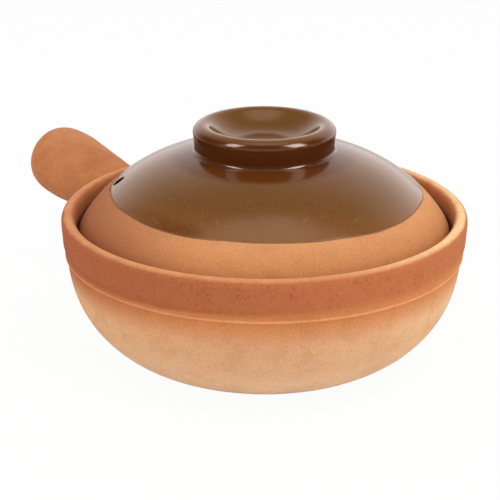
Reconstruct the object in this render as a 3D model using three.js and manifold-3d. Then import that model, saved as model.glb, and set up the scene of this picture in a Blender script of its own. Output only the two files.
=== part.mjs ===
// Clay cooking pot: a bowl with one hollow stick handle, and a loose domed lid with a dished knob.
// Millimetres, +Z up. The origin is the centre of the flat foot, and the handle points along -X.
import * as THREE from 'three';
import { mergeVertices } from 'three/addons/utils/BufferGeometryUtils.js';
import Module from 'manifold-3d';

const wasm = await Module();
wasm.setup();

// Bowl
const potHeight = 75; // foot to the top of the lip
const rimRadius = 100; // outside of the lip
const footRadius = 50; // flat that the pot stands on
const wallThickness = 6.5; // wall and floor
const lipThickness = 6.7;
const collarDepth = 15.5; // lip to the lower edge of the raised collar
const collarTaper = 0.5; // the collar draws in by this much towards its lower edge
const stepDepth = 3.3; // slope under the collar
const stepInset = 1.8; // collar's lower edge to the wall
const beadWidth = 1.6; // fine ridge at the top of the wall
const beadBulge = 0.6;
const ledgeDepth = 12.5; // lip to the ledge that carries the lid
const ledgeWidth = 6.8;
const ledgeThickness = 3;
const ledgeRound = 1;
const footFullness = 0.234; // how long the belly keeps to the floor, as a share of its flare
const wallFullness = 0.774; // how far the belly falls steeply, as a share of its height
const wallLean = 0.032; // lean of the steep part, as a share of the flare

// Handle
const handleLength = 80; // wall to the far end
const handleTilt = 8; // degrees above level
const handleDrop = 22.5; // lip to the handle's axis, at the wall
const handleRootRadius = 13.5; // at the wall
const handleEndRadius = 19.7;
const handleEndLength = 25; // rounded end
const handleEndPower = 4; // squareness of the rounded end
const handleWall = 6;
const kilnVentRadius = 6; // hole in the far end
const handleCoilWidth = 7; // fillet of clay round the root, inside the wall's face
const handleCoilLength = 7;

// Lid
const lidClearance = 2; // lid edge to the inside of the collar
const lidThickness = 6;
const lidEdgeHeight = 4.2; // upright edge above the seat
const lidEdgeRound = 1.5;
const domeRise = 40; // upright edge to the top of the dome
const domeCrown = 0.6; // how far the dome stays level, as a share of its radius
const domeSpring = 0.47; // how far it falls steeply to the edge, as a share of its rise
const domeLean = 0.12; // lean of that fall, as a share of its radius
const steamHoleRadius = 3;
const steamHoleReach = 71; // from the lid's axis
const steamHoleAngle = 227; // degrees round from +X

// Knob
const knobRadius = 34.4;
const knobHeight = 10.3; // top of the dome to the crest of the rim
const knobFootRadius = 32;
const knobRimWidth = 12.4; // across the rounded rim, from side to side
const knobRimHeight = 8.8;
const knobRimTurn = 115; // degrees that the rim rolls over, from its outside
const dishDepth = 8.2;
const dishFloorRadius = 12;
const knobCoilWidth = 3.2; // fillet of clay round the knob's foot
const knobCoilHeight = 3.2;

// Glaze
const glazeThickness = 0.4;
const glazeReach = 76.4; // dip line on the lid, from its axis

// Clearances
const coatGap = 0.1; // clay to its glaze
const joinGap = 0.3; // clay to clay, where two formed parts meet
const seatGap = 0.3; // lid to its ledge
const coilTip = 0.4; // thickness of a coil where it is smoothed out

// Facets
const potSegments = 48;
const handleSegments = 24;
const holeSegments = 24;
const wallSteps = 8;
const domeFacet = 8; // longest facet along the dome
const roundSteps = 3;
const mergeDistance = 1e-4;

const lipRadius = lipThickness / 2;
const collarInside = rimRadius - lipThickness;
const collarBottom = potHeight - collarDepth;
const wallRadius = rimRadius - collarTaper - stepInset;
const beadTop = collarBottom - stepDepth;
const wallTop = beadTop - beadWidth;
const ledgeHeight = potHeight - ledgeDepth;
const ledgeInside = collarInside - ledgeWidth;

const lidRadius = collarInside - lidClearance;
const domeTop = lidEdgeHeight + domeRise;
const knobTop = domeTop + knobHeight;
const coilReach = knobFootRadius + knobCoilWidth;

const tilt = THREE.MathUtils.degToRad(handleTilt);
const rootReach = wallRadius / Math.cos(tilt); // pot's axis to the wall, along the handle
const tipReach = rootReach + handleLength;
const flareReach = tipReach - handleEndLength;

const clay = { bowl: 0xc98c5c, handle: 0xc08150, coil: 0xbd7c4c, lid: 0xc17f4d, knob: 0xb97a4a };
const glaze = { lining: 0x5a3a1e, lid: 0x6a4526 };

function clayFinish(color) {
  return new THREE.MeshStandardMaterial({ color, roughness: 0.9, metalness: 0 });
}

function glazeFinish(color) {
  return new THREE.MeshStandardMaterial({ color, roughness: 0.15, metalness: 0 });
}

function point(radius, height) {
  return new THREE.Vector2(radius, height);
}

// Outline moved sideways, to the left of its direction of travel. Points on the axis stay on it.
function offset(outline, distance) {
  return outline.map((here, index) => {
    const before = outline[Math.max(index - 1, 0)];
    const after = outline[Math.min(index + 1, outline.length - 1)];
    const into = here.clone().sub(before).normalize();
    const outOf = after.clone().sub(here).normalize();
    const along = into.clone().add(outOf).normalize();
    const reach = index > 0 && index < outline.length - 1 ? distance / along.dot(outOf) : distance;
    const moved = point(here.x - along.y * reach, here.y + along.x * reach);
    if (here.x === 0) moved.set(0, here.y + Math.sign(along.x) * distance);
    return moved;
  });
}

// Body of revolution about +Z. The outline runs anticlockwise in the half plane of radius and height.
function turned(outline, segments) {
  return new THREE.LatheGeometry(outline, segments).rotateX(Math.PI / 2);
}

function closed(outline) {
  return [...outline, outline[0].clone()];
}

// Skin of even thickness over an outline, a small gap away from it.
function skin(outline) {
  const inner = offset(outline, coatGap);
  const outer = offset(outline, coatGap + glazeThickness);
  return outline[0].x === 0 ? [...inner, ...outer.reverse()] : closed([...inner, ...outer.reverse()]);
}

function solidOf(geometry) {
  const bare = geometry.clone().deleteAttribute('normal').deleteAttribute('uv');
  const { attributes, index } = mergeVertices(bare, mergeDistance);
  const corners = [];
  for (let i = 0; i < index.count; i += 3) {
    const [a, b, c] = [index.getX(i), index.getX(i + 1), index.getX(i + 2)];
    if (a !== b && b !== c && c !== a) corners.push(a, b, c);
  }
  const vertProperties = new Float32Array(attributes.position.array);
  return new wasm.Manifold(new wasm.Mesh({ numProp: 3, vertProperties, triVerts: new Uint32Array(corners) }));
}

function cut(geometry, ...tools) {
  const left = tools.reduce((solid, tool) => solid.subtract(solidOf(tool)), solidOf(geometry));
  const { vertProperties, triVerts } = left.getMesh();
  const result = new THREE.BufferGeometry();
  result.setAttribute('position', new THREE.BufferAttribute(vertProperties, 3));
  result.setIndex(new THREE.BufferAttribute(triVerts, 1));
  result.computeVertexNormals();
  return result;
}

function piece(name, geometry, material) {
  const mesh = new THREE.Mesh(geometry, material);
  mesh.name = name;
  return mesh;
}

// Outside of the belly, from the centre of the foot to the top of the wall.
function bellyOutline() {
  const flare = wallRadius - footRadius;
  const wall = new THREE.CubicBezierCurve(
    point(footRadius, 0),
    point(footRadius + footFullness * flare, 0),
    point(wallRadius - wallLean * flare, wallTop * (1 - wallFullness)),
    point(wallRadius, wallTop),
  );
  return [point(0, 0), ...wall.getPoints(wallSteps)];
}

// Outside of the bead, the collar and the lip, from the top of the wall to the inside of the lip.
function collarOutline() {
  const path = new THREE.Path();
  path.moveTo(wallRadius, wallTop);
  path.quadraticCurveTo(wallRadius + 2 * beadBulge, (wallTop + beadTop) / 2, wallRadius, beadTop);
  path.lineTo(rimRadius - collarTaper, collarBottom);
  path.lineTo(rimRadius, potHeight - lipRadius);
  path.absarc(rimRadius - lipRadius, potHeight - lipRadius, lipRadius, 0, Math.PI, false);
  return path.getPoints(roundSteps);
}

// Inside of the floor and the wall, from the centre of the floor to the underside of the ledge.
function liningOutline() {
  return offset(bellyOutline(), wallThickness);
}

function bowlGeometry() {
  const ledge = new THREE.Path();
  ledge.moveTo(collarInside, ledgeHeight);
  ledge.lineTo(ledgeInside + ledgeRound, ledgeHeight);
  ledge.quadraticCurveTo(ledgeInside, ledgeHeight, ledgeInside, ledgeHeight - ledgeRound);
  ledge.lineTo(ledgeInside, ledgeHeight - ledgeThickness);
  const inside = liningOutline().reverse();
  const outline = [...bellyOutline(), ...collarOutline().slice(1), ...ledge.getPoints(roundSteps), ...inside];
  return turned(outline, potSegments);
}

function potGlazeGeometry() {
  return turned(skin(liningOutline()), potSegments);
}

// The bowl's outside as a full body, grown by the gap that a joined part keeps to it.
function bowlEnvelope() {
  const outline = [...bellyOutline(), ...collarOutline().slice(1), point(0, potHeight - lipRadius)];
  return turned(offset(outline, -joinGap), potSegments);
}

// From the handle's own axis, which starts on the pot's axis, to its place on the bowl.
function handlePlace() {
  const place = new THREE.Matrix4().makeRotationY(tilt - Math.PI / 2);
  return place.setPosition(0, 0, potHeight - handleDrop - wallRadius * Math.tan(tilt));
}

function handleRadiusAt(reach) {
  const flare = (handleEndRadius - handleRootRadius) / (flareReach - rootReach);
  return handleRootRadius + flare * (reach - rootReach);
}

// Rounded end of a given radius and length, from its widest place to the rim of the kiln vent.
function endOutline(radius, length) {
  const steps = wallSteps;
  const last = Math.acos((kilnVentRadius / radius) ** (handleEndPower / 2));
  return Array.from({ length: steps + 1 }, (_, step) => {
    const turn = (last * step) / steps;
    const across = radius * Math.cos(turn) ** (2 / handleEndPower);
    return point(across, flareReach + length * Math.sin(turn) ** (2 / handleEndPower));
  });
}

function handleGeometry(envelope) {
  const start = rootReach - wallThickness;
  const root = handleRadiusAt(start);
  const outside = endOutline(handleEndRadius, handleEndLength);
  const inside = endOutline(handleEndRadius - handleWall, handleEndLength - handleWall).reverse();
  const outline = closed([point(root, start), ...outside, ...inside, point(root - handleWall, start)]);
  return cut(turned(outline, handleSegments).applyMatrix4(handlePlace()), envelope);
}

function handleCoilGeometry(envelope) {
  const start = rootReach - wallThickness;
  const end = rootReach + handleCoilLength;
  const bottom = handleRadiusAt(start) + joinGap;
  const waist = handleRadiusAt(rootReach) + joinGap + coilTip;
  const top = handleRadiusAt(end) + joinGap;
  const path = new THREE.Path();
  path.moveTo(bottom, start);
  path.lineTo(bottom + handleCoilWidth, start);
  path.quadraticCurveTo(waist, rootReach, top + coilTip, end);
  path.lineTo(top, end);
  const outline = closed(path.getPoints(2 * roundSteps));
  return cut(turned(outline, handleSegments).applyMatrix4(handlePlace()), envelope);
}

function domeCurve() {
  return new THREE.CubicBezierCurve(
    point(0, domeTop),
    point(domeCrown * lidRadius, domeTop),
    point((1 - domeLean) * lidRadius, lidEdgeHeight + domeSpring * domeRise),
    point(lidRadius, lidEdgeHeight),
  );
}

// Place on the dome at a given radius: its share of the way along the dome's curve.
function domeShareAt(radius) {
  const curve = domeCurve();
  let [low, high] = [0, 1];
  while (high - low > mergeDistance) {
    const middle = (low + high) / 2;
    if (curve.getPoint(middle).x < radius) low = middle;
    else high = middle;
  }
  return high;
}

// Stretch of the dome between two radii, from the inner one to the outer one.
function domeOutline(from, to) {
  const curve = domeCurve();
  const steps = Math.ceil((to - from) / domeFacet);
  const first = from === 0 ? 0 : domeShareAt(from);
  const last = to === lidRadius ? 1 : domeShareAt(to);
  return Array.from({ length: steps + 1 }, (_, step) => curve.getPoint(first + ((last - first) * step) / steps));
}

// Whole dome, with a corner wherever another piece on it begins or ends, so that their facets match.
function fullDomeOutline() {
  const corners = [knobFootRadius, coilReach, glazeReach, lidRadius];
  return corners.flatMap((to, index) => {
    const from = index === 0 ? 0 : corners[index - 1];
    return domeOutline(from, to).slice(index === 0 ? 0 : 1);
  });
}

// Cutter for the steam hole, which runs straight down through the dome.
function steamHole() {
  const angle = THREE.MathUtils.degToRad(steamHoleAngle);
  return new THREE.CylinderGeometry(steamHoleRadius, steamHoleRadius, 2 * domeTop, holeSegments)
    .rotateX(Math.PI / 2)
    .translate(steamHoleReach * Math.cos(angle), steamHoleReach * Math.sin(angle), 0);
}

function lidDomeGeometry() {
  const outside = fullDomeOutline();
  const inside = offset(outside, -lidThickness);
  const edge = new THREE.Path();
  edge.moveTo(inside.at(-1).x, 0);
  edge.lineTo(lidRadius - lidEdgeRound, 0);
  edge.quadraticCurveTo(lidRadius, 0, lidRadius, lidEdgeRound);
  const outline = [...inside, ...edge.getPoints(roundSteps), ...outside.reverse()];
  return cut(turned(outline, potSegments), steamHole());
}

// Shown side of the knob, from the middle of its dish over the rim and down its side to its foot.
function knobOutline() {
  const rim = point(knobRadius - knobRimWidth / 2, knobTop - knobRimHeight / 2);
  const turn = THREE.MathUtils.degToRad(knobRimTurn);
  const [halfWidth, halfHeight] = [knobRimWidth / 2, knobRimHeight / 2];
  const inner = point(rim.x + halfWidth * Math.cos(turn), rim.y + halfHeight * Math.sin(turn));
  const dishWall = inner.x - dishFloorRadius;
  const path = new THREE.Path();
  path.moveTo(0, knobTop - dishDepth);
  path.lineTo(dishFloorRadius, knobTop - dishDepth);
  path.bezierCurveTo(
    dishFloorRadius + dishWall / 2, knobTop - dishDepth,
    inner.x - halfWidth / 2, inner.y - halfHeight / 2,
    inner.x, inner.y,
  );
  path.absellipse(rim.x, rim.y, halfWidth, halfHeight, turn, 0, true, 0);
  path.lineTo(knobFootRadius, domeCurve().getPoint(domeShareAt(knobFootRadius)).y + joinGap);
  return path.getPoints(roundSteps);
}

function knobGeometry() {
  const bottom = offset(domeOutline(0, knobFootRadius), joinGap);
  const outline = [...bottom.slice(0, -1), ...knobOutline().reverse()];
  return turned(outline, potSegments);
}

// Hollow curve from the knob's side to the dome.
function knobCoilOutline() {
  const outer = domeCurve().getPoint(domeShareAt(coilReach));
  const foot = domeCurve().getPoint(domeShareAt(knobFootRadius));
  const rimHeight = knobTop - knobRimHeight / 2;
  const top = foot.y + joinGap + knobCoilHeight;
  const lean = (knobRadius - knobFootRadius) / (rimHeight - foot.y - joinGap);
  const side = knobFootRadius + lean * knobCoilHeight + joinGap + coilTip;
  const path = new THREE.Path();
  path.moveTo(side, top);
  path.quadraticCurveTo(
    knobFootRadius + joinGap + coilTip, foot.y + joinGap + coilTip,
    outer.x, outer.y + joinGap + coilTip,
  );
  return path.getPoints(roundSteps);
}

function knobCoilGeometry() {
  const shown = knobCoilOutline();
  const seat = offset(domeOutline(knobFootRadius, coilReach), joinGap);
  const side = shown[0].clone().sub(point(coilTip, 0));
  const corner = point(knobFootRadius + joinGap, seat[0].y);
  const outline = closed([corner, ...seat.slice(1), ...[...shown].reverse(), side]);
  return turned(outline, potSegments);
}

function lidGlazeGeometry() {
  const dome = domeOutline(coilReach, glazeReach);
  const shown = [...knobOutline().slice(0, -1), ...knobCoilOutline(), ...dome.slice(1)];
  return cut(turned(skin(shown), potSegments), steamHole());
}

function makePot() {
  const envelope = bowlEnvelope();
  return new THREE.Group().add(
    piece('pot_bowl', bowlGeometry(), clayFinish(clay.bowl)),
    piece('pot_glaze', potGlazeGeometry(), glazeFinish(glaze.lining)),
    piece('handle', handleGeometry(envelope), clayFinish(clay.handle)),
    piece('handle_join_coil', handleCoilGeometry(envelope), clayFinish(clay.coil)),
  );
}

function makeLid() {
  const lid = new THREE.Group().add(
    piece('lid_dome', lidDomeGeometry(), clayFinish(clay.lid)),
    piece('lid_knob', knobGeometry(), clayFinish(clay.knob)),
    piece('knob_join_coil', knobCoilGeometry(), clayFinish(clay.coil)),
    piece('lid_glaze', lidGlazeGeometry(), glazeFinish(glaze.lid)),
  );
  lid.position.z = ledgeHeight + seatGap;
  return lid;
}

export default new THREE.Group().add(makePot(), makeLid());
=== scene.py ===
import math

import bpy
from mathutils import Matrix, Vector
from mathutils.geometry import interpolate_bezier


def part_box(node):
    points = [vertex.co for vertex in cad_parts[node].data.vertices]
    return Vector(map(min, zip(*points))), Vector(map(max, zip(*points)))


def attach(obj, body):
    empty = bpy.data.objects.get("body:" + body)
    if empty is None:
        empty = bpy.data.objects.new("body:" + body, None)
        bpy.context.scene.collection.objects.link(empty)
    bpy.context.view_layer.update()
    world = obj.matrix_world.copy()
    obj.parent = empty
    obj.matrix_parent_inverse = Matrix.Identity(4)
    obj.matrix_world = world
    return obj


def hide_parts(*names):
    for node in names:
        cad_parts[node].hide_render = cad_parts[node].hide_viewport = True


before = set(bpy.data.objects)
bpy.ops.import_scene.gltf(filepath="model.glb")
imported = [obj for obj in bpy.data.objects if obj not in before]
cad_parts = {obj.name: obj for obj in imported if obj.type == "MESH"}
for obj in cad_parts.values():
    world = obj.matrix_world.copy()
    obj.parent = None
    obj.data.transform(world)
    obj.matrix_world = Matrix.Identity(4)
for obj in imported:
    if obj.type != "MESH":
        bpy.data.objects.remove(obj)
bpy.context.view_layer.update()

mm = 0.001
weld = 0.003 * mm  # points closer than this become one
up = Vector((0, 0, 1))
print("frame loaded:", ", ".join(sorted(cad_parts)))


# Outlines: points in a half plane, as radius and height

def at(radius, height):
    return Vector((radius, height))


def line(start, end, steps):
    return [start.lerp(end, step / steps) for step in range(steps + 1)]


def curve(start, leave, arrive, end, steps):
    return interpolate_bezier(start, leave, arrive, end, steps + 1)


def arc(centre, across, high, first, last, steps):
    turns = [math.radians(first + (last - first) * step / steps) for step in range(steps + 1)]
    return [centre + Vector((across * math.cos(turn), high * math.sin(turn))) for turn in turns]


def bend(start, radius, first, last, steps):
    # an arc that leaves a point, while its normal turns from one direction to another
    turn = math.radians(first)
    centre = start - radius * at(math.cos(turn), math.sin(turn))
    return arc(centre, radius, radius, first, last, steps)


def beside(outline, gap):
    # the outline moved to the left of its run, while an end on the axis stays on it
    moved = []
    for index, here in enumerate(outline):
        before = outline[max(index - 1, 0)]
        after = outline[min(index + 1, len(outline) - 1)]
        run = (after - before).normalized()
        moved.append(here + gap * Vector((-run.y, run.x)))
        if here.x == 0:
            moved[-1].x = 0
    return moved


def heightOn(outline, radius):
    # height of an outline that runs outwards, at a given radius
    for inner, outer in zip(outline, outline[1:]):
        if radius <= outer.x:
            break
    share = (radius - inner.x) / (outer.x - inner.x)
    return inner.y + share * (outer.y - inner.y)


# Modelling steps

def spun(name, outline, steps, origin=Vector((0, 0, 0)), axis=up, side=Vector((1, 0, 0))):
    # a plane pulled into one point, drawn along the outline and spun round the axis
    chain = [origin + side * spot.x + axis * spot.y for spot in outline]
    bpy.ops.object.select_all(action="DESELECT")
    bpy.ops.mesh.primitive_plane_add(size=mm)
    piece = bpy.context.object
    piece.name = name
    piece.data.name = name
    bpy.ops.object.mode_set(mode="EDIT")
    bpy.ops.mesh.select_mode(type="VERT")
    bpy.ops.mesh.select_all(action="SELECT")
    bpy.ops.mesh.merge(type="CENTER")
    bpy.ops.transform.translate(value=chain[0])
    for here, there in zip(chain, chain[1:]):
        bpy.ops.mesh.extrude_region_move(TRANSFORM_OT_translate={"value": there - here})
    bpy.ops.mesh.select_all(action="SELECT")
    bpy.ops.mesh.spin(steps=steps, angle=2 * math.pi, center=origin, axis=axis)
    closeSkin()
    bpy.ops.object.mode_set(mode="OBJECT")
    return piece


def closeSkin():
    bpy.ops.mesh.select_all(action="SELECT")
    bpy.ops.mesh.remove_doubles(threshold=weld)
    bpy.ops.mesh.normals_make_consistent(inside=False)


def pick(piece, chosen):
    # selects just these vertices, in edit mode
    bpy.ops.object.mode_set(mode="EDIT")
    bpy.ops.mesh.select_mode(type="VERT")
    bpy.ops.mesh.select_all(action="DESELECT")
    bpy.ops.object.mode_set(mode="OBJECT")
    for vertex in piece.data.vertices:
        vertex.select = vertex.index in chosen
    bpy.ops.object.mode_set(mode="EDIT")


def smooth(piece, levels=1):
    refine = piece.modifiers.new("refine", "SUBSURF")
    refine.levels = levels
    refine.render_levels = levels
    refine.use_limit_surface = False
    bpy.ops.object.modifier_apply(modifier=refine.name)
    bpy.ops.object.shade_smooth()


def unevenness(piece, size, depth):
    # the slow waviness of a surface finished by hand
    waves = bpy.data.textures.new(piece.name + "Waves", "CLOUDS")
    waves.noise_scale = size
    waves.noise_depth = 1
    push = piece.modifiers.new("unevenness", "DISPLACE")
    push.texture = waves
    push.texture_coords = "LOCAL"
    push.mid_level = 0.5
    push.strength = depth
    bpy.ops.object.modifier_apply(modifier=push.name)


def markDip(piece, distance):
    # keeps on each vertex how far it lies from the edge of the glaze
    attribute = piece.data.attributes.new("toDip", "FLOAT", "POINT")
    for value, vertex in zip(attribute.data, piece.data.vertices):
        value.value = distance(vertex.co)


def place(piece, body, slot, material, *nodes):
    piece.data.materials.clear()
    piece.data.materials.append(material)
    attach(piece, body)
    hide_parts(*nodes)
    print("made", piece.name, len(piece.data.polygons), "faces, for", ", ".join(nodes))


# Shader maths

class Wire:
    # one socket; sums and products on it add Math nodes
    def __init__(self, tree, socket=None):
        self.tree = tree
        self.socket = socket

    def node(self, kind, settings, inputs, out=None):
        made = self.tree.nodes.new(kind)
        for key, value in settings.items():
            setattr(made, key, value)
        for key, value in inputs.items():
            target = next(s for s in made.inputs if key in (s.identifier, s.name) and s.enabled)
            if isinstance(value, Wire):
                self.tree.links.new(value.socket, target)
            else:
                target.default_value = value
        found = [s for s in made.outputs if s.enabled and out in (None, s.identifier, s.name)]
        return Wire(self.tree, found[0] if found else None)

    def maths(self, operation, first, second):
        inputs = {"Value": first, "Value_001": second}
        return self.node("ShaderNodeMath", {"operation": operation}, inputs)

    def __add__(self, other):
        return self.maths("ADD", self, other)

    __radd__ = __add__

    def __sub__(self, other):
        return self.maths("SUBTRACT", self, other)

    def __rsub__(self, other):
        return self.maths("SUBTRACT", other, self)

    def __mul__(self, other):
        return self.maths("MULTIPLY", self, other)

    __rmul__ = __mul__

    def __truediv__(self, other):
        return self.maths("DIVIDE", self, other)

    def __pow__(self, other):
        return self.maths("POWER", self, other)

    def __abs__(self):
        return self.node("ShaderNodeMath", {"operation": "ABSOLUTE"}, {"Value": self})


def tone(red, green, blue):
    # a colour as it is seen, 0 to 255, as linear light
    shares = [value / 255 for value in (red, green, blue)]
    linear = [s / 12.92 if s <= 0.04045 else ((s + 0.055) / 1.055) ** 2.4 for s in shares]
    return (*linear, 1)


def openMaterial(name):
    material = bpy.data.materials.new(name)
    material.use_nodes = True
    material.node_tree.nodes.clear()
    return material, Wire(material.node_tree)


def closeMaterial(wire, inputs):
    shader = wire.node("ShaderNodeBsdfPrincipled", {}, inputs)
    wire.node("ShaderNodeOutputMaterial", {}, {"Surface": shader})


def placeOn(wire):
    # a point of the object, and its three parts
    spot = wire.node("ShaderNodeTexCoord", {}, {}, "Object")
    parts = [wire.node("ShaderNodeSeparateXYZ", {}, {"Vector": spot}, letter) for letter in "XYZ"]
    return spot, parts


def noiseOf(spot, size, detail, rough):
    inputs = {"Vector": spot, "Scale": 1 / size, "Detail": detail, "Roughness": rough}
    return spot.node("ShaderNodeTexNoise", {}, inputs, "Fac")


def centred(noise):
    # a noise as a push to either side
    return noise - 0.5


def rise(value, low, high):
    # 0 below low and 1 above high, eased between
    inputs = {"Value": value, "From Min": low, "From Max": high}
    return value.node("ShaderNodeMapRange", {"interpolation_type": "SMOOTHSTEP"}, inputs)


def border(value, wander, low, high, loose):
    # a rise whose edge wanders
    return rise(value + wander * loose, low, high)


def blend(share, first, second, way="MIX"):
    wire = next(value for value in (share, first, second) if isinstance(value, Wire))
    settings = {"data_type": "RGBA", "blend_type": way}
    inputs = {"Factor_Float": share, "A_Color": first, "B_Color": second}
    return wire.node("ShaderNodeMix", settings, inputs, "Result_Color")


def along(spot, side):
    # how far a place or a direction lies to one side
    inputs = {"Vector": spot, "Vector_001": side}
    return spot.node("ShaderNodeVectorMath", {"operation": "DOT_PRODUCT"}, inputs, "Value")


def lengthOf(x, y):
    return (x * x + y * y) ** 0.5


def dotsOf(spot, spacing, size, shift):
    # scattered round dots, 1 inside and 0 outside
    both = {"Vector": spot, "Vector_001": shift}
    moved = spot.node("ShaderNodeVectorMath", {"operation": "ADD"}, both)
    inputs = {"Vector": moved, "Scale": 1 / spacing}
    apart = spot.node("ShaderNodeTexVoronoi", {}, inputs, "Distance")
    return 1 - rise(apart, size / spacing / 2, size / spacing)


def bumpOf(relief, strength):
    # relief is in millimetres
    inputs = {"Height": relief, "Distance": mm, "Strength": strength}
    return relief.node("ShaderNodeBump", {}, inputs, "Normal")


# Clay

clay = {
    "foot": tone(231, 194, 159),
    "belly": tone(221, 170, 126),
    "paleAndLit": tone(240, 200, 156),  # paler on the side away from the flame and towards the brighter lamps: partly the clay's own tone, partly painted light
    "warm": tone(213, 139, 85),  # under the bead
    "warmDark": tone(188, 112, 66),
    "wash": tone(183, 100, 59),  # red of the collar
    "washBrown": tone(158, 88, 54),
    # paler line on the bead: partly rubbed, partly painted highlight on its top
    "bead": tone(228, 166, 114),
    # lip bare of the wash, paler at its crest: partly rubbed, partly painted highlight
    "lip": tone(215, 152, 103),
    # the lip paler on the right, towards the brighter lamps: painted light
    "lipLitRight": tone(250, 212, 160),
    "inside": tone(182, 111, 66),  # inside of the collar, darker: partly its own tone, partly painted shade
    "gap": tone(84, 44, 24),  # painted shade in the corner of the ledge, under the lid
    "handle": tone(190, 122, 74),
    "handleWarm": tone(197, 127, 77),
    "handleLitTop": tone(197, 134, 92),  # upper side, paler: painted light from above
    "lid": tone(214, 152, 99),  # by the dip line
    # darker towards the lid's edge, beside the collar's lip: painted shade
    "lidEdgeShade": tone(203, 134, 81),
    "flash": tone(152, 84, 51),  # redder where the flame licked it
    "flashSide": (-0.72, -0.69, 0),
    "hole": tone(70, 40, 22),
    "pit": tone(112, 62, 38),
    "speck": tone(243, 212, 178),
    "sand": tone(128, 66, 38),  # dark and pale grains in the collar's wash
    "sandPale": tone(214, 146, 100),
    "grainDark": tone(238, 231, 224),
    "mottleDark": tone(246, 240, 234),
    "grain": (0.9 * mm, 3, 0.7),  # noises: size, detail, roughness
    "brush": (3.5 * mm, 3, 0.6),
    "mottle": (12 * mm, 4, 0.6),
    "pits": (6 * mm, 0.35 * mm, (0.2, 0.1, 0.4)),  # dots: spacing, size, shift
    "specks": (6.5 * mm, 0.3 * mm, (0.7, 0.3, 0.1)),
    "sandGrains": (1.7 * mm, 0.55 * mm, (0.3, 0.6, 0.9)),
    "sandPaleGrains": (1.7 * mm, 0.55 * mm, (0.5, 0.2, 0.7)),
    "grainTurns": (0.3, 0.65),  # noise values between which a darker tone fades out
    "mottleTurns": (0.3, 0.6),
    "speckShare": 0.4,
    "pitShare": 0.6,
    "grainRelief": 0.05,  # in millimetres
    "mottleRelief": 0.12,
    "pitRelief": 0.25,
    "speckRelief": 0.03,
    "bump": 0.8,
    "roughness": 0.82,
    "grainRoughness": 0.12,
    "specular": 0.25,
    "diffuseRoughness": 0.6,
}


def clayFinish(name, ground):
    material, wire = openMaterial(name)
    spot, (x, y, z) = placeOn(wire)
    grain = noiseOf(spot, *clay["grain"])
    mottle = noiseOf(spot, *clay["mottle"])
    surface = {
        "spot": spot,
        "x": x / mm,
        "y": y / mm,
        "height": z / mm,
        "reach": lengthOf(x, y) / mm,
        "flash": along(spot, clay["flashSide"]) / mm,
        "brush": noiseOf(spot, *clay["brush"]),
        "mottle": mottle,
        "grain": grain,
    }
    pits = dotsOf(spot, *clay["pits"])
    specks = dotsOf(spot, *clay["specks"])
    colour = ground(surface)
    colour = blend(1 - rise(grain, *clay["grainTurns"]), colour, clay["grainDark"], "MULTIPLY")
    colour = blend(1 - rise(mottle, *clay["mottleTurns"]), colour, clay["mottleDark"], "MULTIPLY")
    colour = blend(specks * clay["speckShare"], colour, clay["speck"])
    colour = blend(pits * clay["pitShare"], colour, clay["pit"])
    relief = grain * clay["grainRelief"] + mottle * clay["mottleRelief"]
    relief = relief - pits * clay["pitRelief"] + specks * clay["speckRelief"]
    inputs = {
        "Base Color": colour,
        "Roughness": clay["roughness"] + grain * clay["grainRoughness"],
        "Specular IOR Level": clay["specular"],
        "Diffuse Roughness": clay["diffuseRoughness"],
        "Normal": bumpOf(relief, clay["bump"]),
    }
    closeMaterial(wire, inputs)
    return material


bowlBands = {  # borders between tones: start and end in millimetres, and how much they wander
    "wander": 10,
    "fineWander": 3,
    "belly": (4, 44, 0.5),
    "paleAndLit": (10, 100, 4),
    "paleShare": 0.5,
    "warm": (40, 54, 0.4),
    "warmDark": (20, 95, 2),
    "heavy": (-75, 75, 4),  # the wash is heavier on the flame's side
    "washFrom": 56.2,
    "washTo": 63.5,
    "washLower": 6,  # how much lower it is full where it is heavy
    "washWander": 0.2,
    "outside": (95.5, 96.5),
    "washShare": 0.66,
    "washHeavy": 0.22,
    "washBrush": 0.6,
    "washMottle": 0.6,
    "washGrain": 0.7,
    "brownShare": 0.4,
    "sandTurns": (0.38, 0.6),
    "sandShare": 0.55,
    "sandPaleTurns": (0.4, 0.6),
    "sandPaleShare": 0.3,
    "lip": (73.5, 75.2, 0.06),
    "lipBrush": 0.6,
    "lipTone": (-95, -30, 2),
    "lipShare": 0.9,
    "beadHeight": 55.3,
    "bead": (0.25, 0.65),
    "beadShare": 0.9,
    "beadHeavy": 0.35,
    "insideHeight": (60, 61),
    "insideReach": (92.8, 95.4, 0.1),
    "insideShare": 0.95,
    # heights over which the painted shade in the ledge's corner fades out
    "gap": (63.5, 68, 0.3),
    "gapShadeShare": 0.8,
}


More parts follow.
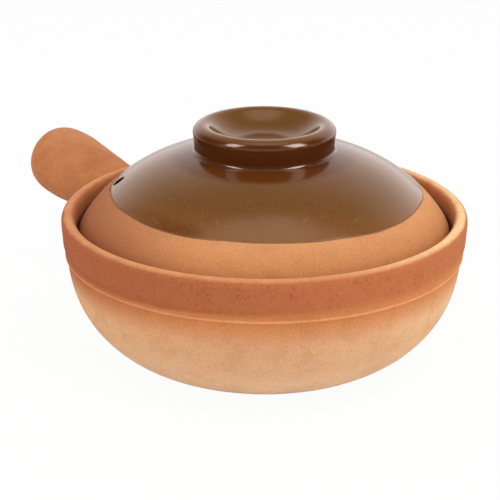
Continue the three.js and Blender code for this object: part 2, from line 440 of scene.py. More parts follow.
def bowlGround(surface):
    b = bowlBands
    height = surface["height"]
    flash = surface["flash"]
    brush = centred(surface["brush"])
    mottle = centred(surface["mottle"])
    grain = centred(surface["grain"])
    wander = mottle * b["wander"] + grain * b["fineWander"]
    colour = blend(border(height, wander, *b["belly"]), clay["foot"], clay["belly"])
    # paler towards the right: partly the clay's own tone, partly painted light
    colour = blend(border(0 - flash, wander, *b["paleAndLit"]) * b["paleShare"], colour, clay["paleAndLit"])
    warm = blend(border(flash, wander, *b["warmDark"]), clay["warm"], clay["warmDark"])
    colour = blend(border(height, wander, *b["warm"]), colour, warm)

    # red wash on the outside of the collar, with grains of sand in it
    heavy = border(flash, wander, *b["heavy"])
    toLip = border(height + brush * b["lipBrush"], wander, *b["lip"])
    full = b["washTo"] - heavy * b["washLower"]
    wash = border(height, wander, b["washFrom"], full, b["washWander"])
    wash = wash * (1 - toLip) * rise(surface["reach"], *b["outside"])
    patchy = b["washShare"] + heavy * b["washHeavy"] + brush * b["washBrush"]
    patchy = patchy + mottle * b["washMottle"] + grain * b["washGrain"]
    red = blend(heavy * b["brownShare"], clay["wash"], clay["washBrown"])
    colour = blend(wash * patchy, colour, red)
    sand = dotsOf(surface["spot"], *clay["sandGrains"])
    sand = sand * wash * rise(surface["mottle"], *b["sandTurns"])
    colour = blend(sand * b["sandShare"], colour, clay["sand"])
    sandPale = dotsOf(surface["spot"], *clay["sandPaleGrains"])
    sandPale = sandPale * wash * rise(surface["brush"], *b["sandPaleTurns"])
    colour = blend(sandPale * b["sandPaleShare"], colour, clay["sandPale"])

    # lip and bead paler: rubbed, and partly painted highlight on their tops, with painted light on
    # the lip's right; the inside of the collar darker, partly painted shade, and painted shade in the
    # ledge's corner
    # painted light: the lip paler on the right, and a painted highlight on its crest
    lip = blend(border(flash, wander, *b["lipTone"]), clay["lipLitRight"], clay["lip"])
    colour = blend(toLip * b["lipShare"], colour, lip)
    # the bead's paler line: partly rubbed, partly painted highlight
    beadRubbedAndLit = 1 - rise(abs(height - b["beadHeight"]), *b["bead"])
    colour = blend(beadRubbedAndLit * (b["beadShare"] - heavy * b["beadHeavy"]), colour, clay["bead"])
    # darker inside the collar: partly its own tone, partly painted shade
    inside = 1 - border(surface["reach"], wander, *b["insideReach"])
    inside = inside * rise(height, *b["insideHeight"])
    colour = blend(inside * b["insideShare"], colour, clay["inside"])
    # painted shade deep in the corner between the ledge and the lid
    gap = inside * (1 - border(height, wander, *b["gap"]))
    return blend(gap * b["gapShadeShare"], colour, clay["gap"])


handleBands = {
    "wander": 20,
    "warmTurns": (0.3, 0.7),
    # heights over which the painted light on the handle's upper side comes in
    "paleAndLit": (64, 90, 1),
}


def handleGround(surface):
    b = handleBands
    wander = centred(surface["mottle"]) * b["wander"]
    colour = blend(rise(surface["mottle"], *b["warmTurns"]), clay["handle"], clay["handleWarm"])
    # painted light: the handle's upper side paler
    return blend(border(surface["height"], wander, *b["paleAndLit"]), colour, clay["handleLitTop"])


lidBands = {
    "wander": 8,
    # radii over which the painted shade towards the lid's edge comes in
    "edge": (78, 91, 1),
    "flash": (15, 85, 1.5),
    "flashShare": 0.75,
    "hole": (3.4, 4.6),
}


def lidGround(surface):
    b = lidBands
    wander = centred(surface["mottle"]) * b["wander"]
    # painted shade towards the lid's edge
    colour = blend(border(surface["reach"], wander, *b["edge"]), clay["lid"], clay["lidEdgeShade"])
    flash = border(surface["flash"], wander, *b["flash"])
    colour = blend(flash * b["flashShare"], colour, clay["flash"])
    toHole = lengthOf(surface["x"] - holeAxis.x / mm, surface["y"] - holeAxis.y / mm)
    return blend(1 - rise(toHole, *b["hole"]), colour, clay["hole"])


bowlClay = clayFinish("bowlClay", bowlGround)
handleClay = clayFinish("handleClay", handleGround)
print("clay finishes ready")


# Glaze

glaze = {
    "olive": tone(106, 68, 32),
    "pooledAndShade": tone(73, 33, 8),  # darker round the knob's side and foot: thick glaze where it ran together, and painted shade under the rim and in the crease
    "pooledAndShadeLow": tone(90, 47, 15),  # and on the dome beside it: pooled glaze, and painted shade where the knob shades the dome
    "thin": tone(132, 85, 40),  # clay showing through near the dip line
    "edge": tone(84, 44, 20),
    "dark": tone(96, 48, 10),  # browner, low on one side
    "scratch": tone(140, 100, 58),
    "speck": tone(150, 112, 66),
    "cornerPale": tone(110, 68, 34),  # paler on the knob's corner
    "footRing": (35, 103),  # radius and height, in millimetres, of the knob's foot,
    "sideRing": (34.5, 111),  # its side and its corner
    "cornerRing": (34.8, 114.2),
    "patches": (40 * mm, 3, 0.55),  # noises: size, detail, roughness
    "streaks": (7 * mm, 4, 0.6),
    "scratches": (1.3 * mm, 3, 0.6),
    "threads": (9 * mm, 2, 0.5),
    "specks": (5 * mm, 0.28 * mm, (0.4, 0.8, 0.2)),  # dots: spacing, size, shift
    "footReach": (8, 12.5),  # millimetres between which a tone fades out,
    "footStray": (6, 3),  # and how far that strays with the patches and the streaks
    "sideReach": (4.5, 6.5),
    "cornerReach": (0.25, 0.85),
    "cornerTurns": (0.8, 1.1),
    "cornerShare": 0.7,
    "lowHeight": (103, 105),
    "cloudMix": (0.6, 0.3, 0.1),  # patches, streaks and scratches in the thicker clouds
    "cloudTurns": (0.5, 0.75),
    "cloudShare": 0.5,
    "thinReach": (-1, 14),
    "thinStray": (24, 4),
    "thinShare": 0.4,
    "darkReach": (1, 8),
    "darkStray": (8, 6),
    "darkStart": (24, 33),  # where it starts and mostly ends again, towards the flame's side
    "darkEnd": (42, 56),
    "darkLoss": 0.7,
    "darkSway": 12,
    "darkShare": 0.75,
    "wornReach": (14, 34),
    "wornStray": (20, 0),
    "threadWidth": (0.004, 0.016),
    "threadTurns": (0.52, 0.62),
    "threadShare": 0.4,
    "fleckTurns": (0.52, 0.72),
    "fleckShare": 0.3,
    "edgeReach": (0, 0.7),
    "edgeStray": (0, 0.6),
    "edgeShare": 0.12,
    "speckShare": 0.5,
    "scratchRelief": 0.008,  # in millimetres
    "streakRelief": 0.014,
    "patchRelief": 0.05,
    "speckRelief": 0.02,
    "threadRelief": 0.012,
    "bump": 1.0,
    "dryReach": (0.1, 0.6),
    "roughness": 0.13,
    "streakRoughness": 0.04,
    "edgeRoughness": 0.7,
    "ior": 1.6,
    "mirrorTint": (1, 0.81, 0.71, 1),
}


def toRing(reach, height, ringReach, ringHeight):
    # distance to a ring round the axis
    return lengthOf(reach - ringReach, height - ringHeight)


def near(distance, noises, stray, low, high):
    # 1 close by and 0 further off, with an edge that strays
    byPatch, byStreak = stray
    strayed = distance + centred(noises["patch"]) * byPatch + centred(noises["streak"]) * byStreak
    return 1 - rise(strayed, low, high)


def glazeOnKnob(reach, height, noises):
    # olive in clouds; darker round the knob's side and foot, pooled glaze and painted shade; paler on
    # its corner
    g = glaze
    patch = noises["patch"]
    streak = noises["streak"]
    # darker round the knob's foot and side: pooled glaze, with painted shade under the rim, in the
    # crease and on the dome beside the knob
    atFoot = near(toRing(reach, height, *g["footRing"]), noises, g["footStray"], *g["footReach"])
    sideShade = 1 - rise(toRing(reach, height, *g["sideRing"]), *g["sideReach"])
    thickAndShade = sideShade.maths("MAXIMUM", sideShade, atFoot)
    byPatch, byStreak, byScratch = g["cloudMix"]
    clouds = patch * byPatch + streak * byStreak + noises["scratch"] * byScratch
    thickAndShade = thickAndShade + (1 - thickAndShade) * rise(clouds, *g["cloudTurns"]) * g["cloudShare"]
    pooledAndShade = blend(rise(height, *g["lowHeight"]), g["pooledAndShadeLow"], g["pooledAndShade"])
    colour = blend(thickAndShade, g["olive"], pooledAndShade)
    onCorner = 1 - rise(toRing(reach, height, *g["cornerRing"]), *g["cornerReach"])
    cornerPale = onCorner * rise(patch + streak, *g["cornerTurns"])
    return blend(cornerPale * g["cornerShare"], colour, g["cornerPale"])


def glazeByDip(colour, toDip, flash, noises):
    # thinner towards the dip line, and browner at one place beside it
    g = glaze
    thin = near(toDip, noises, g["thinStray"], *g["thinReach"])
    colour = blend(thin * g["thinShare"], colour, g["thin"])
    aside = flash + centred(noises["streak"]) * g["darkSway"]
    dark = rise(aside, *g["darkStart"]) * (1 - rise(aside, *g["darkEnd"]) * g["darkLoss"])
    dark = dark * near(toDip, noises, g["darkStray"], *g["darkReach"])
    return blend(dark * g["darkShare"], colour, g["dark"])


def glazeFinish(name):
    g = glaze
    material, wire = openMaterial(name)
    spot, (x, y, z) = placeOn(wire)
    toDip = wire.node("ShaderNodeAttribute", {"attribute_name": "toDip"}, {}, "Fac") / mm
    patch = noiseOf(spot, *g["patches"])
    streak = noiseOf(spot, *g["streaks"])
    scratch = noiseOf(spot, *g["scratches"])
    noises = {"patch": patch, "streak": streak, "scratch": scratch}
    colour = glazeOnKnob(lengthOf(x, y) / mm, z / mm, noises)
    colour = glazeByDip(colour, toDip, along(spot, clay["flashSide"]) / mm, noises)

    # wear: threads and flecks in the lower part, a browner edge and a few specks
    worn = near(toDip, noises, g["wornStray"], *g["wornReach"])
    fromThread = abs(centred(noiseOf(spot, *g["threads"])))
    threads = (1 - rise(fromThread, *g["threadWidth"])) * rise(streak, *g["threadTurns"]) * worn
    flecks = rise(scratch, *g["fleckTurns"]) * worn
    colour = blend(threads * g["threadShare"] + flecks * g["fleckShare"], colour, g["scratch"])
    atEdge = near(toDip, noises, g["edgeStray"], *g["edgeReach"])
    colour = blend(atEdge * g["edgeShare"], colour, g["edge"])
    specks = dotsOf(spot, *g["specks"])
    colour = blend(specks * g["speckShare"], colour, g["speck"])

    relief = scratch * g["scratchRelief"] + streak * g["streakRelief"] + patch * g["patchRelief"]
    relief = relief + specks * g["speckRelief"] + threads * g["threadRelief"]
    dry = 1 - rise(toDip, *g["dryReach"])
    inputs = {
        "Base Color": colour,
        "Roughness": g["roughness"] + streak * g["streakRoughness"] + dry * g["edgeRoughness"],
        "IOR": g["ior"],
        "Specular Tint": g["mirrorTint"],
        "Normal": bumpOf(relief, g["bump"]),
    }
    closeMaterial(wire, inputs)
    return material


lidBrown = glazeFinish("lidGlaze")
liningBrown = glazeFinish("liningGlaze")
print("glaze finishes ready")


# Bowl

bowl = {
    "height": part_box("pot_bowl")[1].z,
    "rim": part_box("pot_bowl")[1].x,
    "foot": 50 * mm,
    "wall": 6.5 * mm,
    "lip": 6.7 * mm,
    "wallRadius": 97.7 * mm,  # just under the bead
    "wallTop": 54.5 * mm,
    "footRun": 11.2 * mm,  # how far the belly keeps level at the foot
    "wallRun": 42.2 * mm,  # how far it falls steeply from the bead
    "wallLean": 1.5 * mm,
    "beadHeight": 1.4 * mm,
    "beadBulge": 1.05 * mm,
    "beadTurn": 70,  # degrees of its round, up and down from the middle
    "shoulderFoot": 1.68 * mm,  # start of the shoulder, above the wall's top
    "shoulderSoft": 0.1 * mm,
    "shoulderLeave": 0.35,  # how far it starts and ends upright, as shares of its height
    "shoulderArrive": 0.5,
    "collarEdge": 62 * mm,
    "collarTaper": 0.5 * mm,
    "lipBlend": 2 * mm,
    "ledge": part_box("lid_dome")[0].z - 0.3 * mm,
    "ledgeInside": 86.5 * mm,
    "ledgeNose": 1.4 * mm,
    "ledgeCorner": 1 * mm,
    "ledgeDepth": 2.4 * mm,
    "waves": (22 * mm, 0.22 * mm),  # size and depth
    "steps": 112,
}


def bellyOutline(steps):
    b = bowl
    return curve(
        at(b["foot"], 0),
        at(b["foot"] + b["footRun"], 0),
        at(b["wallRadius"] - b["wallLean"], b["wallTop"] - b["wallRun"]),
        at(b["wallRadius"], b["wallTop"]),
        steps,
    )


def collarOutline():
    b = bowl
    half = b["lip"] / 2
    beadHalf = b["beadHeight"] / 2
    beadMiddle = at(b["wallRadius"], b["wallTop"] + beadHalf)
    bead = arc(beadMiddle, b["beadBulge"], beadHalf, -b["beadTurn"], b["beadTurn"], 6)
    shoulderFoot = at(b["wallRadius"], b["wallTop"] + b["shoulderFoot"])
    shoulderTop = at(b["rim"] - b["collarTaper"], b["collarEdge"])
    climb = shoulderTop.y - shoulderFoot.y
    shoulder = curve(
        shoulderFoot,
        shoulderFoot + at(b["shoulderSoft"], climb * b["shoulderLeave"]),
        shoulderTop - at(b["shoulderSoft"], climb * b["shoulderArrive"]),
        shoulderTop,
        8,
    )
    side = line(shoulderTop, at(b["rim"], b["height"] - half), 5)
    lip = arc(at(b["rim"] - half, b["height"] - half), half, half, 0, 180, 12)
    return bead + shoulder + side[1:-1] + lip


def ledgeOutline():
    # inside of the collar, the ledge and its underside, down to the top of the inner wall
    b = bowl
    inside = b["rim"] - b["lip"]
    ledge = b["ledge"]
    corner = b["ledgeCorner"]
    nose = b["ledgeNose"]
    collarTop = at(inside, b["height"] - b["lip"] / 2 - b["lipBlend"])
    collar = line(collarTop, at(inside, ledge + 2 * corner), 3)
    fillet = arc(at(inside - corner, ledge + corner), corner, corner, 0, -90, 4)
    flat = line(at(inside - 2 * corner, ledge), at(b["ledgeInside"] + 2 * nose, ledge), 2)
    lipOfLedge = arc(at(b["ledgeInside"] + nose, ledge - nose), nose, nose, 90, 180, 4)
    under = at(b["ledgeInside"], ledge - b["ledgeDepth"])
    return collar + fillet + flat + lipOfLedge + [under]


def liningOutline(steps):
    # inside of the floor and the wall, from the centre outwards
    wall = beside(bellyOutline(steps), bowl["wall"])
    floor = line(at(0, bowl["wall"]), wall[0], 6)
    return floor[:-1] + wall


def makeBowl():
    base = line(at(0, 0), at(bowl["foot"], 0), 6)
    outside = base[:-1] + bellyOutline(24) + collarOutline()
    outline = outside + ledgeOutline() + liningOutline(20)[::-1]
    piece = spun("bowl", outline, bowl["steps"])
    smooth(piece)
    unevenness(piece, *bowl["waves"])
    for vertex in piece.data.vertices:
        vertex.co.z = max(vertex.co.z, 0)  # the foot stands flat
    place(piece, "pot", "buff_clay", bowlClay, "pot_bowl")
    return piece


bowlPiece = makeBowl()

lining = {
    "gap": 0.1 * mm,
    "thickness": 0.5 * mm,
    "steps": 96,
}


def makeLining():
    wall = liningOutline(26)
    under = beside(wall, lining["gap"])
    shown = beside(wall, lining["thickness"])
    nose = (under[-1] + shown[-1]) / 2 + at(0, lining["thickness"] / 2)
    piece = spun("bowlLining", under + [nose] + shown[::-1], lining["steps"])
    smooth(piece)
    top = max(vertex.co.z for vertex in piece.data.vertices)
    markDip(piece, lambda spot: top - spot.z)
    place(piece, "pot", "brown_glaze", liningBrown, "pot_glaze")


makeLining()


# Handle

tilt = math.radians(8)
handle = {
    "axis": Vector((-math.cos(tilt), 0, math.sin(tilt))),
    "side": Vector((math.sin(tilt), 0, math.cos(tilt))),
    "drop": 22.5 * mm,  # lip to the axis, at the wall
    "length": 80 * mm,
    "rootRadius": 13.5 * mm,
    "endRadius": 19.7 * mm,
    "endLength": 25 * mm,
    "endPower": 4,  # squareness of the rounded end
    "wall": 6 * mm,
    "vent": 6 * mm,
    "ventLip": 1.6 * mm,
    "seat": 2 * mm,  # how deep the root sits in the wall
    "rootBand": 0.1 * mm,  # vertices this close to the root's end are dropped on the wall
    "waves": (18 * mm, 0.25 * mm),
    "fillet": 5 * mm,
    "filletOver": 0.15 * mm,  # how far its hollow curve reaches past a plain quarter
    "filletInto": 1 * mm,
    "filletSeat": 1.2 * mm,
    "filletWaves": (9 * mm, 0.3 * mm),
    "lookFrom": 300 * mm,
    "steps": 64,
}
rootReach = bowl["wallRadius"] / math.cos(tilt)
tipReach = rootReach + handle["length"]
flareReach = tipReach - handle["endLength"]
handleStart = up * (bowl["height"] - handle["drop"] - bowl["wallRadius"] * math.tan(tilt))


def endOutline(radius, length, vent, steps):
    # rounded end, from its widest place to the vent
    power = handle["endPower"]
    last = math.atan2(radius, vent)
    ends = []
    for step in range(steps + 1):
        turn = last * step / steps
        size = (math.cos(turn) ** power + math.sin(turn) ** power) ** (-1 / power)
        ends.append(at(radius * size * math.cos(turn), flareReach + length * size * math.sin(turn)))
    return ends


def handleRadius(reach):
    share = (reach - rootReach) / (flareReach - rootReach)
    return handle["rootRadius"] + share * (handle["endRadius"] - handle["rootRadius"])


def reachOf(point):
    # how far along the handle's axis a point lies
    return (point - handleStart).dot(handle["axis"])


def acrossAxis(point):
    # the point moved along the handle's axis to where that axis starts
    return point - handle["axis"] * reachOf(point)


def wallReach(spot):
    # how far along the handle's axis the bowl's outside stands, over a point beside the axis
    away = handle["axis"] * handle["lookFrom"]
    hit = bowlPiece.ray_cast(spot + away, -handle["axis"])[1]
    return reachOf(hit)


def makeHandle():
    h = handle
    lip = h["ventLip"]
    start = rootReach - h["seat"]
    outside = line(at(handleRadius(start), start), at(h["endRadius"], flareReach), 14)
    end = endOutline(h["endRadius"], h["endLength"], h["vent"] + lip, 14)
    vent = arc(at(h["vent"] + lip, tipReach - lip), lip, lip, 90, 180, 4)
    inside = endOutline(h["endRadius"] - h["wall"], h["endLength"] - h["wall"], h["vent"], 8)[::-1]
    bore = line(inside[-1], at(handleRadius(start) - h["wall"], start), 6)
    outline = outside[:-1] + end[:-1] + vent + inside[:-1] + bore + outside[:1]
    piece = spun("handleClub", outline, h["steps"], handleStart, h["axis"], h["side"])
    for vertex in piece.data.vertices:
        reach = reachOf(vertex.co)
        if reach < start + h["rootBand"]:
            seat = wallReach(acrossAxis(vertex.co)) - h["seat"]
            vertex.co += h["axis"] * (seat - reach)
    smooth(piece)
    unevenness(piece, *h["waves"])
    place(piece, "pot", "buff_clay", handleClay, "handle")


def makeHandleFillet():
    # the hollow curve is drawn over a flat wall, then each vertex is dropped on the real one
    h = handle
    size = h["fillet"]
    root = h["rootRadius"]
    sweep = size + h["filletOver"]
    hollow = arc(at(root + size, size), sweep, sweep, 180, 270, 8)
    deep = -h["filletSeat"]
    into = root - h["filletInto"]
    under = [at(root + size, deep), at(root + size / 2, deep), at(into, deep), at(into, size)]
    outline = hollow + under + hollow[:1]
    piece = spun("handleFillet", outline, h["steps"], handleStart, h["axis"], h["side"])
    for vertex in piece.data.vertices:
        above = reachOf(vertex.co)
        foot = acrossAxis(vertex.co)
        reach = wallReach(foot) + above
        flare = handleRadius(reach) - root
        vertex.co = foot + h["axis"] * reach + (foot - handleStart).normalized() * flare
    smooth(piece)
    unevenness(piece, *h["filletWaves"])
    place(piece, "pot", "buff_clay", handleClay, "handle_join_coil")


makeHandle()
makeHandleFillet()


# Lid

lid = {
    "seat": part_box("lid_dome")[0].z,
    "radius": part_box("lid_dome")[1].x,
    "top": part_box("lid_dome")[1].z,
    "edge": 4.2 * mm,
    "edgeRound": 1.6 * mm,
    "wall": 6 * mm,
    "crown": 0.6,  # how far the dome stays level, as a share of its radius
    "spring": 0.47,  # how far it falls steeply, as a share of its rise
    "lean": 0.12,
    "footCrease": 0.4 * mm,
    "footMargin": 2 * mm,  # no ring comes closer to the foot's inner corner,
    "edgeMargin": 1.5 * mm,  # to the edge
    "topMargin": 1 * mm,  # or to the top
    "shoulder": [(0, -0.7 * mm), (0.25 * mm, 0.4 * mm)],  # inwards and up from the edge's top
    "holeReach": 71.6 * mm,
    "holeAngle": math.radians(227),
    "holeRadius": 2.8 * mm,
    "facing": 0.2,  # least slope of a normal that counts as facing up or down
    "waves": (22 * mm, 0.1 * mm),
    "pitch": 4.2 * mm,  # ring to ring on the dome
    "steps": 96,
}
holeSide = Vector((math.cos(lid["holeAngle"]), math.sin(lid["holeAngle"]), 0))
holeAxis = holeSide * lid["holeReach"]
lidClay = clayFinish("lidClay", lidGround)
edgeTop = lid["seat"] + lid["edge"]
domeLine = curve(
    at(0, lid["top"]),
    at(lid["crown"] * lid["radius"], lid["top"]),
    at((1 - lid["lean"]) * lid["radius"], edgeTop + lid["spring"] * (lid["top"] - edgeTop)),
    at(lid["radius"], edgeTop),
    300,
)
hollowLine = beside(domeLine, -lid["wall"])


def onDome(radius, drop=0):
    return at(radius, heightOn(domeLine, radius) - drop)


def ringsOn(outline, first, last):
    # points on a dome's line, with one of them at the steam hole
    pitch = lid["pitch"]
    lowest = math.ceil((first - lid["holeReach"]) / pitch)
    highest = math.floor((last - lid["holeReach"]) / pitch)
    radii = [lid["holeReach"] + count * pitch for count in range(lowest, highest + 1)]
    return [at(radius, heightOn(outline, radius)) for radius in radii]


def nearerFirst(spot, first, second):
    # whether a point stands closer to the first line than to the second
    gaps = [abs(spot.z - heightOn(outline, spot.xy.length)) for outline in (first, second)]
    return gaps[0] < gaps[1]


def pierce(piece, outer, inner):
    # takes a vertex out of both skins, rounds the gaps and joins them with an upright wall
    mesh = piece.data
    nearest = []
    for facing in (1, -1):
        skin = [vertex for vertex in mesh.vertices if vertex.normal.z * facing > lid["facing"]]
        nearest.append(min(skin, key=lambda vertex: (vertex.co.xy - holeAxis.xy).length).index)
    pick(piece, nearest)
    bpy.ops.mesh.delete(type="VERT")
    bpy.ops.mesh.select_mode(type="EDGE")
    bpy.ops.mesh.select_non_manifold()
    bpy.ops.object.mode_set(mode="OBJECT")
    rim = [vertex for vertex in mesh.vertices if vertex.select]
    for skinLine, isOuter in ((outer, True), (inner, False)):
        loop = [vertex for vertex in rim if nearerFirst(vertex.co, outer, inner) == isOuter]
        loop.sort(key=lambda vertex: math.atan2(*(vertex.co.xy - holeAxis.xy)))
        first = math.atan2(*(loop[0].co.xy - holeAxis.xy))
        for count, vertex in enumerate(loop):
            turn = first + count * 2 * math.pi / len(loop)
            spot = holeAxis + lid["holeRadius"] * Vector((math.sin(turn), math.cos(turn), 0))
            vertex.co = (spot.x, spot.y, heightOn(skinLine, spot.length))
    bpy.ops.object.mode_set(mode="EDIT")
    bpy.ops.mesh.bridge_edge_loops()
    closeSkin()
    bpy.ops.object.mode_set(mode="OBJECT")


def makeDome():
    d = lid
    edgeRadius = d["radius"]
    soft = d["edgeRound"]
    foot = at(hollowLine[-1].x, d["seat"])
    rings = ringsOn(hollowLine, d["topMargin"], foot.x - d["footMargin"])
    inside = hollowLine[:1] + rings + hollowLine[-1:]
    flat = line(foot + at(d["footMargin"], 0), at(edgeRadius - 2 * soft, foot.y), 2)
    bottom = [foot + at(d["footCrease"], 0)] + flat
    edge = arc(at(edgeRadius - soft, foot.y + soft), soft, soft, -90, 0, 4)
    shoulder = [at(edgeRadius - inwards, edgeTop + above) for inwards, above in d["shoulder"]]
    outside = ringsOn(domeLine, d["topMargin"], edgeRadius - d["edgeMargin"])[::-1] + domeLine[:1]
    outline = inside + bottom + edge + shoulder + outside
    piece = spun("lidDome", outline, d["steps"], side=holeSide)
    pierce(piece, domeLine, hollowLine)
    smooth(piece)
    unevenness(piece, *d["waves"])
    place(piece, "lid", "red_clay", lidClay, "lid_dome")


makeDome()


# Knob and its coat

knob = {
    "top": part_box("lid_knob")[1].z,
    "radius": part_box("lid_knob")[1].x,
    "inLean": 128,  # degrees, where the rim rolls out of the dish
    "crestRound": 4.8 * mm,
    "bevelFrom": 48,
    "bevelRound": 5.2 * mm,
    "bevelTo": 28,
    "cornerRound": 1.6 * mm,
    "skirtFrom": -2,
    "skirtRound": 10 * mm,
    "sideLean": -7,
    "hollow": 2.8 * mm,  # round between the side and the dome
    "hollowSteps": 8,
    "hollowTries": 30,
    "dishDepth": 8.7 * mm,
    "dishFloor": 10 * mm,
    "seatMiddle": 20 * mm,
    "filletSeat": 0.2 * mm,
    "filletInto": 0.4 * mm,
}


def rimOutline():
    k = knob
    crest = at(0, k["top"])
    inner = bend(crest, k["crestRound"], 90, k["inLean"], 5)[::-1]
    outer = bend(crest, k["crestRound"], 90, k["bevelFrom"], 6)
    bevel = bend(outer[-1], k["bevelRound"], k["bevelFrom"], k["bevelTo"], 4)
    corner = bend(bevel[-1], k["cornerRound"], k["bevelTo"], k["skirtFrom"], 6)
    skirt = bend(corner[-1], k["skirtRound"], k["skirtFrom"], k["sideLean"], 4)
    outline = inner[:-1] + outer[:-1] + bevel[:-1] + corner[:-1] + skirt
    shift = k["radius"] - max(spot.x for spot in outline)
    return [spot + at(shift, 0) for spot in outline]


def leanOn(outline, radius):
    # degrees that the normal of an outline stands above level
    reach = 0.5 * mm
    fall = heightOn(outline, radius + reach) - heightOn(outline, radius - reach)
    return 90 + math.degrees(math.atan2(fall, 2 * reach))


def hollowOutline(start):
    # the side is drawn down from the rim until the hollow below it ends level with the dome
    k = knob
    lean = math.radians(k["sideLean"])
    down = at(math.sin(lean), -math.cos(lean))
    top = start
    for _ in range(k["hollowTries"]):
        level = leanOn(domeLine, top.x + k["hollow"])
        hollow = bend(top, -k["hollow"], k["sideLean"], level, k["hollowSteps"])
        top = top + down * (hollow[-1].y - heightOn(domeLine, hollow[-1].x))
    return hollow


def knobOutline():
    # from the middle of the dish over the rim and down the side, to the hollow at the dome
    k = knob
    rim = rimOutline()
    floor = k["top"] - k["dishDepth"]
    lean = math.radians(k["inLean"])
    run = (rim[0].x - k["dishFloor"]) / 2
    wall = curve(
        at(k["dishFloor"], floor),
        at(k["dishFloor"] + run, floor),
        rim[0] - run / 2 * at(math.sin(lean), -math.cos(lean)),
        rim[0],
        8,
    )
    hollow = hollowOutline(rim[-1])
    side = line(rim[-1], hollow[0], 5)
    return line(at(0, floor), wall[0], 4)[:-1] + wall[:-1] + rim + side[1:] + hollow[1:]


def makeKnob():
    shown = knobOutline()[:-knob["hollowSteps"]]
    seat = [onDome(shown[-1].x), onDome(knob["seatMiddle"]), domeLine[0]]
    piece = spun("knob", shown + seat, lid["steps"])
    smooth(piece)
    place(piece, "lid", "red_clay", lidClay, "lid_knob")


def makeKnobFillet():
    k = knob
    shown = knobOutline()[-k["hollowSteps"] - 1:]
    into = shown[0].x - k["filletInto"]
    seat = [onDome(radius, k["filletSeat"]) for radius in (shown[-1].x, into)]
    outline = shown + seat + [at(into, shown[0].y)] + shown[:1]
    piece = spun("knobFillet", outline, lid["steps"])
    smooth(piece)
    place(piece, "lid", "red_clay", lidClay, "knob_join_coil")


coat = {
    "gap": 0.1 * mm,
    "thickness": 0.5 * mm,
    "edge": 0.05 * mm,  # what is left of it at the dip line
    "thinFrom": 18 * mm,  # where the coat starts to thin out, from the dip line
    "dip": 76.6 * mm,  # dip line, from the lid's axis
    "dipShift": 1.4 * mm,  # the lid was dipped a little to one side
    "dipShiftTo": math.radians(10.5),
    "dipFrom": 36 * mm,
    "wobble": [(3, 0.30 * mm, 0.4), (5, 0.22 * mm, 2.1), (9, 0.14 * mm, 1.0), (17, 0.08 * mm, 3.3)],
    "ringsFrom": 37 * mm,
    "ringsMargin": 1 * mm,  # from the last even ring to the dip line
    "lastRings": (0.6 * mm, 0.12 * mm),
}


def dipRadius(angle):
    shift = coat["dipShift"] * math.cos(angle - coat["dipShiftTo"])
    waves = sum(depth * math.sin(count * angle + start) for count, depth, start in coat["wobble"])
    return coat["dip"] + shift + waves


def angleOf(spot):
    return math.atan2(spot.y, spot.x)


def coatOver(bare, depth, edge):
    # a line above the clay, that comes down to it towards the dip line
    covered = []
    for spot, full in zip(bare, beside(bare, depth)):
        left = min(max((coat["dip"] - spot.x) / coat["thinFrom"], 0), 1)
        covered.append(spot.lerp(full, left + (1 - left) * edge / depth))
    return covered


def makeCoat():
    c = coat
    dome = ringsOn(domeLine, c["ringsFrom"], c["dip"] - c["ringsMargin"])
    last = [onDome(c["dip"] - short) for short in c["lastRings"]]
    clayLine = knobOutline() + dome + last
    under = coatOver(clayLine, c["gap"], 0)
    shown = coatOver(clayLine, c["thickness"], c["edge"])
    nose = onDome(c["dip"], -c["edge"] / 2)
    piece = spun("lidCoat", shown + [nose] + under[::-1], lid["steps"], side=holeSide)
    for vertex in piece.data.vertices:
        radius = vertex.co.xy.length
        if radius > c["dipFrom"]:
            angle = angleOf(vertex.co)
            share = ((radius - c["dipFrom"]) / (c["dip"] - c["dipFrom"])) ** 2
            moved = radius + share * (dipRadius(angle) - c["dip"])
            height = vertex.co.z + heightOn(domeLine, moved) - heightOn(domeLine, radius)
            vertex.co = (moved * math.cos(angle), moved * math.sin(angle), height)
    pierce(piece, coatOver(domeLine, c["thickness"], c["edge"]), coatOver(domeLine, c["gap"], 0))
    smooth(piece)
    markDip(piece, lambda spot: dipRadius(angleOf(spot)) - spot.xy.length)
    place(piece, "lid", "brown_glaze", lidBrown, "lid_glaze")


makeKnob()
makeKnobFillet()
makeCoat()


# Studio

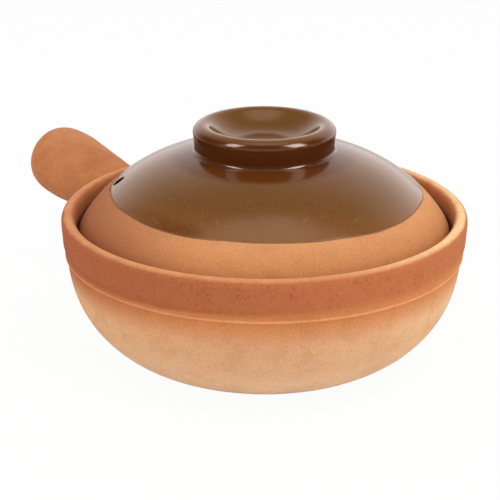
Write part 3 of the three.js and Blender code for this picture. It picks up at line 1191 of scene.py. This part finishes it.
studio = {
    "white": (1, 1, 1, 1),
    "floorSize": 12,
    "floor": (0.86, 0.86, 0.85, 1),
    "glow": 0.95,  # share of plain white that the camera sees in the floor
    "fillLow": 1.4,  # light of the room on the object, from level and from above
    "fillHigh": 0.12,
    "fillHeights": (0.35, 0.85),
    "mirrorBack": 1.5,  # what the glaze mirrors of the room: white paper behind the object,
    "mirrorTop": 0.22,  # brighter to the right, a dim ceiling and a dark room behind the camera
    "mirrorHeights": (0, 1.05),
    "mirrorFront": 0.1,
    "mirrorForward": (-0.75, -0.25),
    "mirrorTurn": 0.15,
    "mirrorSlant": 0.26,
    "mirrorTint": (1, 0.92, 0.91, 1),
    "mirrorLoss": 0.8,  # of that, what is lost in a mirror image of a mirror image
    "overhead": 1.1,  # a soft light patch above, a little forward and right of the middle
    "overheadForward": 0.06,
    "overheadRight": 0.03,
    "overheadDeep": 0.29,
    "overheadWide": 0.54,
    "overheadHeights": (0.2, 0.5),
    "paperFront": -0.2,  # where the white paper in the mirror ends, towards the camera
    "paperFade": 0.25,
    "floorFront": (0.06, 0.035, 0.02, 1),
    "boxes": [  # degrees round from the camera and above level, distance, width, height, power
        (-66, 52, 1.15, 0.28, 0.45, 2.0),
        (66, 47, 1.15, 0.30, 0.55, 3.6),
        (0, 67, 1.1, 1.3, 0.8, 4.6),
    ],
    "gleams": [  # panels that only show in the glaze
        (-61, 45.5, 1.1, 0.31, 0.52, 4.7),
        (61, 43.5, 1.1, 0.4, 0.62, 8.0),
    ],
    "aim": Vector((0, 0, 0.07)),
}
camera = {
    "lens": 101.8,
    "sensor": 36,
    "azimuth": math.radians(45.8),
    "elevation": math.radians(20.94),
    "right": -7 * mm,
    "back": 661.6 * mm,
    "height": 304.8 * mm,
}
toCamera = Vector((math.sin(camera["azimuth"]), -math.cos(camera["azimuth"]), 0))
toRight = Vector((math.cos(camera["azimuth"]), math.sin(camera["azimuth"]), 0))


def makeCamera():
    c = camera
    spot = toRight * c["right"] + toCamera * c["back"] + up * c["height"]
    bpy.ops.object.camera_add(location=spot, rotation=(math.pi / 2 - c["elevation"], 0, c["azimuth"]))
    bpy.context.scene.camera = bpy.context.object
    bpy.context.object.data.lens = c["lens"]
    bpy.context.object.data.sensor_width = c["sensor"]


def rayIs(wire, kind):
    return wire.node("ShaderNodeLightPath", {}, {}, "Is " + kind + " Ray")


def mirrorRay(wire):
    # 1 for what a glossy or clear surface shows
    glossy = rayIs(wire, "Glossy")
    return glossy.maths("MAXIMUM", glossy, rayIs(wire, "Transmission"))


def mirroredTwice(wire):
    # 1 for what a surface mirrors of another one's mirror image
    return rise(wire.node("ShaderNodeLightPath", {}, {}, "Glossy Depth"), 1, 2)


def between(share, first, second):
    return first + share * (second - first)


def makeFloor():
    s = studio
    bpy.ops.object.select_all(action="DESELECT")
    bpy.ops.mesh.primitive_plane_add(size=s["floorSize"])
    floor = bpy.context.object
    floor.name = "floor"
    material, wire = openMaterial("floorPaper")
    paper = wire.node("ShaderNodeBsdfDiffuse", {}, {"Color": s["floor"]})
    white = wire.node("ShaderNodeEmission", {}, {"Color": s["white"], "Strength": 1})
    glow = rayIs(wire, "Camera") * s["glow"]
    seen = wire.node("ShaderNodeMixShader", {}, {"Fac": glow, "Shader": paper, "Shader_001": white})
    spot = wire.node("ShaderNodeTexCoord", {}, {}, "Object")
    front = rise(along(spot, toCamera), s["paperFront"] - s["paperFade"], s["paperFront"])
    tint = blend(front, s["floor"], s["floorFront"])
    tint = blend(mirroredTwice(wire) * s["mirrorLoss"], tint, s["floorFront"])
    mirrored = wire.node("ShaderNodeEmission", {}, {"Color": tint, "Strength": 1})
    both = {"Fac": mirrorRay(wire), "Shader": seen, "Shader_001": mirrored}
    shader = wire.node("ShaderNodeMixShader", {}, both)
    wire.node("ShaderNodeOutputMaterial", {}, {"Surface": shader})
    floor.data.materials.append(material)


def makePanel(around, above, distance, width, tall, power):
    turn = camera["azimuth"] + math.radians(around)
    height = math.radians(above)
    flat = Vector((math.sin(turn), -math.cos(turn), 0))
    out = flat * math.cos(height) + up * math.sin(height)
    facing = out.to_track_quat("Z", "Y").to_euler()
    bpy.ops.object.light_add(type="AREA", location=studio["aim"] + out * distance, rotation=facing)
    panel = bpy.context.object
    panel.data.shape = "RECTANGLE"
    panel.data.size = width
    panel.data.size_y = tall
    panel.data.energy = power
    return panel


def mirroredRoom(wire, forward, aside, above):
    s = studio
    room = between(rise(above, *s["mirrorHeights"]), s["mirrorBack"], s["mirrorTop"])
    room = room * (1 + aside * s["mirrorSlant"])
    front = rise(forward - aside * s["mirrorTurn"], *s["mirrorForward"])
    room = between(front, room, s["mirrorFront"])
    deep = (forward - s["overheadForward"]) / s["overheadDeep"]
    wide = (aside - s["overheadRight"]) / s["overheadWide"]
    overhead = (1 - rise(deep * deep + wide * wide, 0, 1)) * rise(above, *s["overheadHeights"])
    room = room + overhead * s["overhead"]
    return room * (1 - mirroredTwice(wire) * s["mirrorLoss"])


def makeLight():
    s = studio
    world = bpy.data.worlds.new("studio")
    bpy.context.scene.world = world
    world.use_nodes = True
    world.node_tree.nodes.clear()
    wire = Wire(world.node_tree)
    ray = wire.node("ShaderNodeTexCoord", {}, {}, "Generated")
    above = along(ray, up)
    fill = between(rise(above, *s["fillHeights"]), s["fillLow"], s["fillHigh"])
    mirrored = mirroredRoom(wire, along(ray, toCamera), along(ray, toRight), above)
    strength = between(mirrorRay(wire), fill, mirrored)
    strength = between(rayIs(wire, "Camera"), strength, 1)
    tint = blend(mirrorRay(wire), s["white"], s["mirrorTint"])
    tint = blend(rayIs(wire, "Camera"), tint, s["white"])
    sky = wire.node("ShaderNodeBackground", {}, {"Color": tint, "Strength": strength})
    wire.node("ShaderNodeOutputWorld", {}, {"Surface": sky})
    for panel in s["boxes"]:
        makePanel(*panel).visible_glossy = False
    for panel in s["gleams"]:
        makePanel(*panel).visible_diffuse = False


makeCamera()
makeFloor()
makeLight()
bpy.context.scene.view_settings.view_transform = "Standard"
print("studio ready")
